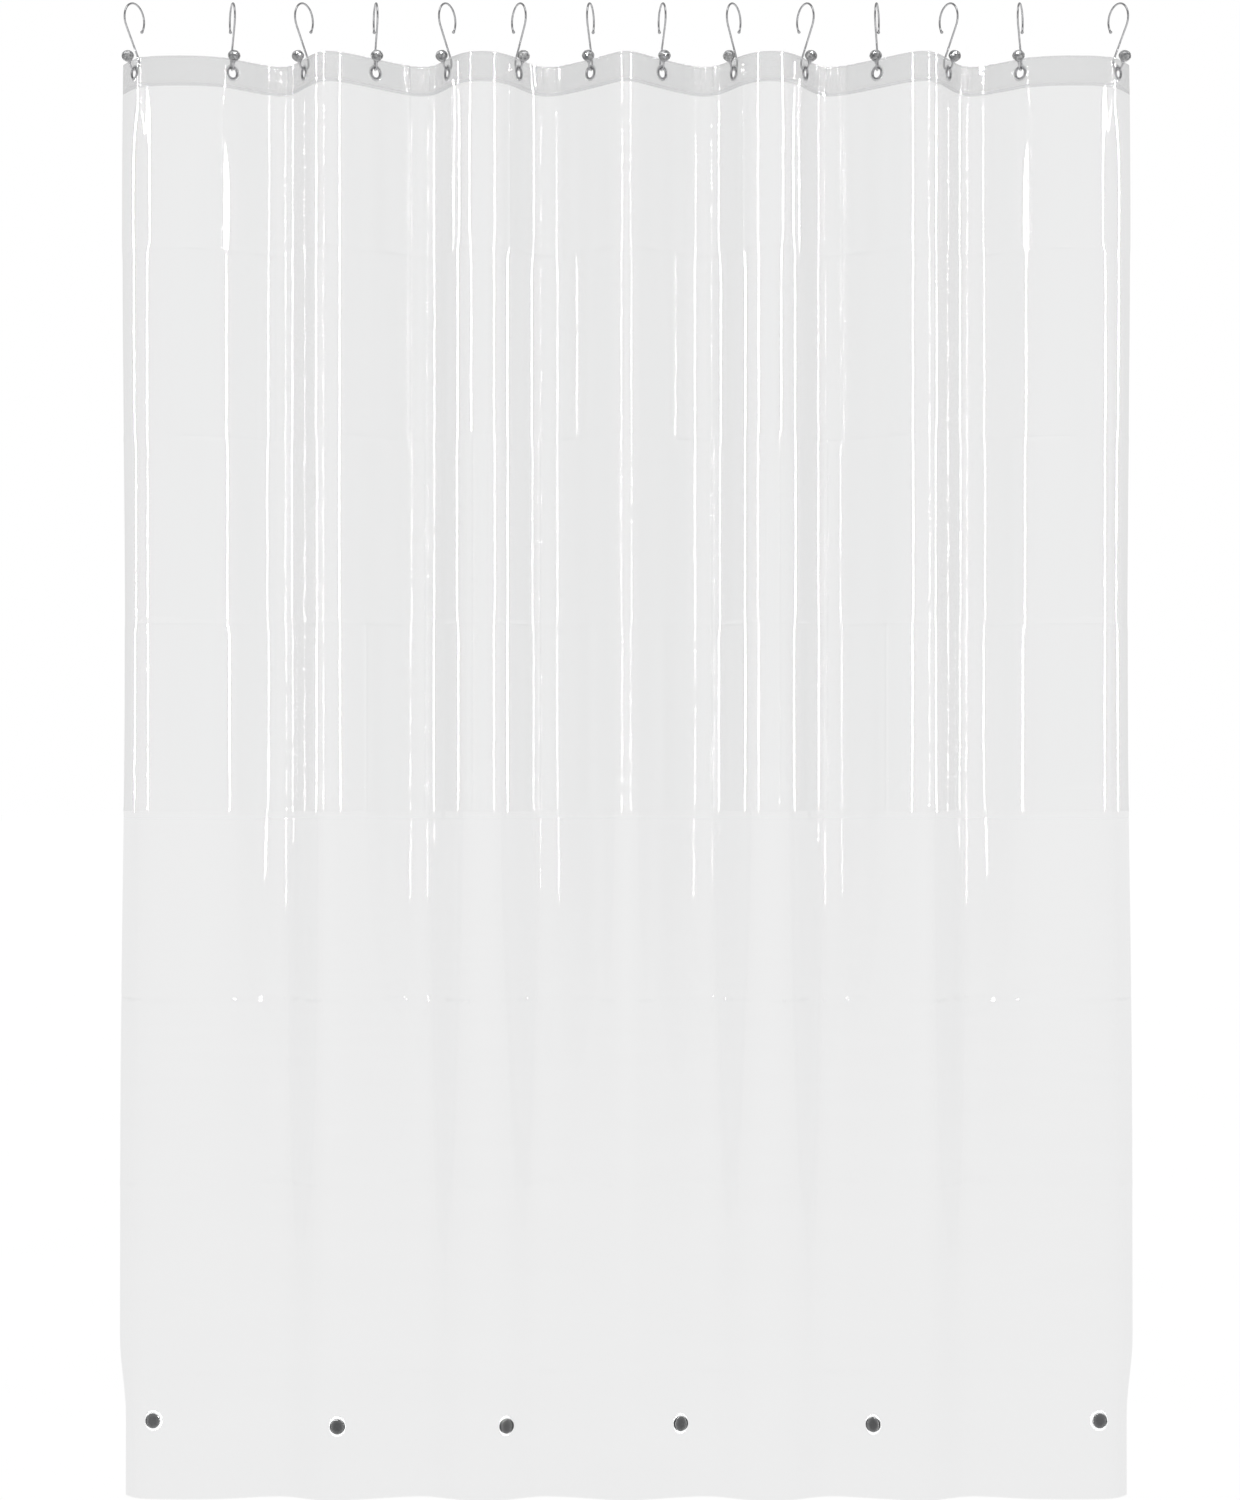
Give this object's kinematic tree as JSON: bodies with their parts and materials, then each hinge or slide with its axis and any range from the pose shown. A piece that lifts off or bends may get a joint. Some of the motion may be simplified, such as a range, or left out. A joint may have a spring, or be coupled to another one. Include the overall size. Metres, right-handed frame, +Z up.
{
  "type": "shower curtain",
  "caption": "Clear film shower curtain hanging in folds from wire hooks with crystal knobs, with a doubled top band and weighting magnets near the hem.",
  "frame": {"origin": "on the axis of the curtain rod that the hooks hang on, over the middle of the curtain", "axes": "+X along the rod to the viewer's right, -Y towards the room (the knob side), +Z up"},
  "size_m": [1.297, 0.0969, 1.9004],
  "materials": {
    "clear_film": "gloss",
    "milky_band": "gloss",
    "chrome_wire": "polished",
    "crystal": "polished",
    "eyelet_metal": "polished",
    "magnet_grey": "satin",
    "pocket_film": "gloss"
  },
  "bodies": {
    "hook_01": {"hook_01": "chrome_wire", "knob_01": "crystal"},
    "curtain": {"film": "clear_film", "header_band": "milky_band", "grommet_01": "eyelet_metal"},
    "hook_14": {"hook_14": "chrome_wire", "knob_14": "crystal"},
    "hook_02": {"hook_02": "chrome_wire", "knob_02": "crystal"},
    "hook_03": {"hook_03": "chrome_wire", "knob_03": "crystal"},
    "hook_04": {"hook_04": "chrome_wire", "knob_04": "crystal"},
    "hook_05": {"hook_05": "chrome_wire", "knob_05": "crystal"},
    "hook_06": {"hook_06": "chrome_wire", "knob_06": "crystal"},
    "hook_07": {"hook_07": "chrome_wire", "knob_07": "crystal"},
    "hook_08": {"hook_08": "chrome_wire", "knob_08": "crystal"},
    "hook_09": {"hook_09": "chrome_wire", "knob_09": "crystal"},
    "hook_10": {"hook_10": "chrome_wire", "knob_10": "crystal"},
    "hook_11": {"hook_11": "chrome_wire", "knob_11": "crystal"},
    "hook_12": {"hook_12": "chrome_wire", "knob_12": "crystal"},
    "hook_13": {"hook_13": "chrome_wire", "knob_13": "crystal"},
    "eyelet_02": {"grommet_02": "eyelet_metal"},
    "eyelet_03": {"grommet_03": "eyelet_metal"},
    "eyelet_04": {"grommet_04": "eyelet_metal"},
    "eyelet_05": {"grommet_05": "eyelet_metal"},
    "eyelet_06": {"grommet_06": "eyelet_metal"},
    "eyelet_07": {"grommet_07": "eyelet_metal"},
    "eyelet_08": {"grommet_08": "eyelet_metal"},
    "eyelet_09": {"grommet_09": "eyelet_metal"},
    "eyelet_10": {"grommet_10": "eyelet_metal"},
    "eyelet_11": {"grommet_11": "eyelet_metal"},
    "eyelet_12": {"grommet_12": "eyelet_metal"},
    "eyelet_13": {"grommet_13": "eyelet_metal"},
    "eyelet_14": {"grommet_14": "eyelet_metal"},
    "magnet_1": {"magnet_1": "magnet_grey", "pocket_1": "pocket_film"},
    "magnet_2": {"magnet_2": "magnet_grey", "pocket_2": "pocket_film"},
    "magnet_3": {"magnet_3": "magnet_grey", "pocket_3": "pocket_film"},
    "magnet_4": {"magnet_4": "magnet_grey", "pocket_4": "pocket_film"},
    "magnet_5": {"magnet_5": "magnet_grey", "pocket_5": "pocket_film"},
    "magnet_6": {"magnet_6": "magnet_grey", "pocket_6": "pocket_film"}
  },
  "joints": [
    {"name": "swing", "type": "hinge", "parent": "hook_01", "child": "curtain", "pos_m": [0, 0, -0.067], "axis": [1, 0, 0], "range_deg": [-8, 8]},
    {"name": "draw", "type": "slide", "parent": "hook_01", "child": "hook_14", "axis": [-1, 0, 0], "range_m": [0, 0.75], "deforming": ["film", "header_band"]},
    {"name": "hook_slide_02", "type": "slide", "parent": "hook_01", "child": "hook_02", "axis": [-1, 0, 0], "range_m": [0, 0.0757]},
    {"name": "hook_slide_03", "type": "slide", "parent": "hook_01", "child": "hook_03", "axis": [-1, 0, 0], "range_m": [0, 0.1303]},
    {"name": "hook_slide_04", "type": "slide", "parent": "hook_01", "child": "hook_04", "axis": [-1, 0, 0], "range_m": [0, 0.1849]},
    {"name": "hook_slide_05", "type": "slide", "parent": "hook_01", "child": "hook_05", "axis": [-1, 0, 0], "range_m": [0, 0.2395]},
    {"name": "hook_slide_06", "type": "slide", "parent": "hook_01", "child": "hook_06", "axis": [-1, 0, 0], "range_m": [0, 0.2941]},
    {"name": "hook_slide_07", "type": "slide", "parent": "hook_01", "child": "hook_07", "axis": [-1, 0, 0], "range_m": [0, 0.3487]},
    {"name": "hook_slide_08", "type": "slide", "parent": "hook_01", "child": "hook_08", "axis": [-1, 0, 0], "range_m": [0, 0.4033]},
    {"name": "hook_slide_09", "type": "slide", "parent": "hook_01", "child": "hook_09", "axis": [-1, 0, 0], "range_m": [0, 0.4579]},
    {"name": "hook_slide_10", "type": "slide", "parent": "hook_01", "child": "hook_10", "axis": [-1, 0, 0], "range_m": [0, 0.5125]},
    {"name": "hook_slide_11", "type": "slide", "parent": "hook_01", "child": "hook_11", "axis": [-1, 0, 0], "range_m": [0, 0.5671]},
    {"name": "hook_slide_12", "type": "slide", "parent": "hook_01", "child": "hook_12", "axis": [-1, 0, 0], "range_m": [0, 0.6217]},
    {"name": "hook_slide_13", "type": "slide", "parent": "hook_01", "child": "hook_13", "axis": [-1, 0, 0], "range_m": [0, 0.6763]},
    {"name": "eyelet_slide_02", "type": "slide", "parent": "curtain", "child": "eyelet_02", "axis": [-1, 0, 0], "range_m": [0, 0.0757]},
    {"name": "eyelet_slide_03", "type": "slide", "parent": "curtain", "child": "eyelet_03", "axis": [-1, 0, 0], "range_m": [0, 0.1303]},
    {"name": "eyelet_slide_04", "type": "slide", "parent": "curtain", "child": "eyelet_04", "axis": [-1, 0, 0], "range_m": [0, 0.1849]},
    {"name": "eyelet_slide_05", "type": "slide", "parent": "curtain", "child": "eyelet_05", "axis": [-1, 0, 0], "range_m": [0, 0.2395]},
    {"name": "eyelet_slide_06", "type": "slide", "parent": "curtain", "child": "eyelet_06", "axis": [-1, 0, 0], "range_m": [0, 0.2941]},
    {"name": "eyelet_slide_07", "type": "slide", "parent": "curtain", "child": "eyelet_07", "axis": [-1, 0, 0], "range_m": [0, 0.3487]},
    {"name": "eyelet_slide_08", "type": "slide", "parent": "curtain", "child": "eyelet_08", "axis": [-1, 0, 0], "range_m": [0, 0.4033]},
    {"name": "eyelet_slide_09", "type": "slide", "parent": "curtain", "child": "eyelet_09", "axis": [-1, 0, 0], "range_m": [0, 0.4579]},
    {"name": "eyelet_slide_10", "type": "slide", "parent": "curtain", "child": "eyelet_10", "axis": [-1, 0, 0], "range_m": [0, 0.5125]},
    {"name": "eyelet_slide_11", "type": "slide", "parent": "curtain", "child": "eyelet_11", "axis": [-1, 0, 0], "range_m": [0, 0.5671]},
    {"name": "eyelet_slide_12", "type": "slide", "parent": "curtain", "child": "eyelet_12", "axis": [-1, 0, 0], "range_m": [0, 0.6217]},
    {"name": "eyelet_slide_13", "type": "slide", "parent": "curtain", "child": "eyelet_13", "axis": [-1, 0, 0], "range_m": [0, 0.6763]},
    {"name": "eyelet_slide_14", "type": "slide", "parent": "curtain", "child": "eyelet_14", "axis": [-1, 0, 0], "range_m": [0, 0.751]},
    {"name": "magnet_slide_1", "type": "slide", "parent": "curtain", "child": "magnet_1", "axis": [-1, 0, 0], "range_m": [0, 0.0154]},
    {"name": "magnet_slide_2", "type": "slide", "parent": "curtain", "child": "magnet_2", "axis": [-1, 0, 0], "range_m": [0, 0.1564]},
    {"name": "magnet_slide_3", "type": "slide", "parent": "curtain", "child": "magnet_3", "axis": [-1, 0, 0], "range_m": [0, 0.2848]},
    {"name": "magnet_slide_4", "type": "slide", "parent": "curtain", "child": "magnet_4", "axis": [-1, 0, 0], "range_m": [0, 0.4174]},
    {"name": "magnet_slide_5", "type": "slide", "parent": "curtain", "child": "magnet_5", "axis": [-1, 0, 0], "range_m": [0, 0.5644]},
    {"name": "magnet_slide_6", "type": "slide", "parent": "curtain", "child": "magnet_6", "axis": [-1, 0, 0], "range_m": [0, 0.7366]}
  ],
  "couplings": [
    {"joint": "hook_slide_02", "follows": "draw", "ratio": 0.0996},
    {"joint": "hook_slide_03", "follows": "draw", "ratio": 0.1724},
    {"joint": "hook_slide_04", "follows": "draw", "ratio": 0.2452},
    {"joint": "hook_slide_05", "follows": "draw", "ratio": 0.318},
    {"joint": "hook_slide_06", "follows": "draw", "ratio": 0.3908},
    {"joint": "hook_slide_07", "follows": "draw", "ratio": 0.4636},
    {"joint": "hook_slide_08", "follows": "draw", "ratio": 0.5364},
    {"joint": "hook_slide_09", "follows": "draw", "ratio": 0.6092},
    {"joint": "hook_slide_10", "follows": "draw", "ratio": 0.682},
    {"joint": "hook_slide_11", "follows": "draw", "ratio": 0.7548},
    {"joint": "hook_slide_12", "follows": "draw", "ratio": 0.8276},
    {"joint": "hook_slide_13", "follows": "draw", "ratio": 0.9004},
    {"joint": "eyelet_slide_02", "follows": "draw", "ratio": 0.0996},
    {"joint": "eyelet_slide_03", "follows": "draw", "ratio": 0.1724},
    {"joint": "eyelet_slide_04", "follows": "draw", "ratio": 0.2452},
    {"joint": "eyelet_slide_05", "follows": "draw", "ratio": 0.318},
    {"joint": "eyelet_slide_06", "follows": "draw", "ratio": 0.3908},
    {"joint": "eyelet_slide_07", "follows": "draw", "ratio": 0.4636},
    {"joint": "eyelet_slide_08", "follows": "draw", "ratio": 0.5364},
    {"joint": "eyelet_slide_09", "follows": "draw", "ratio": 0.6092},
    {"joint": "eyelet_slide_10", "follows": "draw", "ratio": 0.682},
    {"joint": "eyelet_slide_11", "follows": "draw", "ratio": 0.7548},
    {"joint": "eyelet_slide_12", "follows": "draw", "ratio": 0.8276},
    {"joint": "eyelet_slide_13", "follows": "draw", "ratio": 0.9004},
    {"joint": "eyelet_slide_14", "follows": "draw", "ratio": 1},
    {"joint": "magnet_slide_1", "follows": "draw", "ratio": 0.0192},
    {"joint": "magnet_slide_2", "follows": "draw", "ratio": 0.2072},
    {"joint": "magnet_slide_3", "follows": "draw", "ratio": 0.3784},
    {"joint": "magnet_slide_4", "follows": "draw", "ratio": 0.5552},
    {"joint": "magnet_slide_5", "follows": "draw", "ratio": 0.7512},
    {"joint": "magnet_slide_6", "follows": "draw", "ratio": 0.9808}
  ]
}
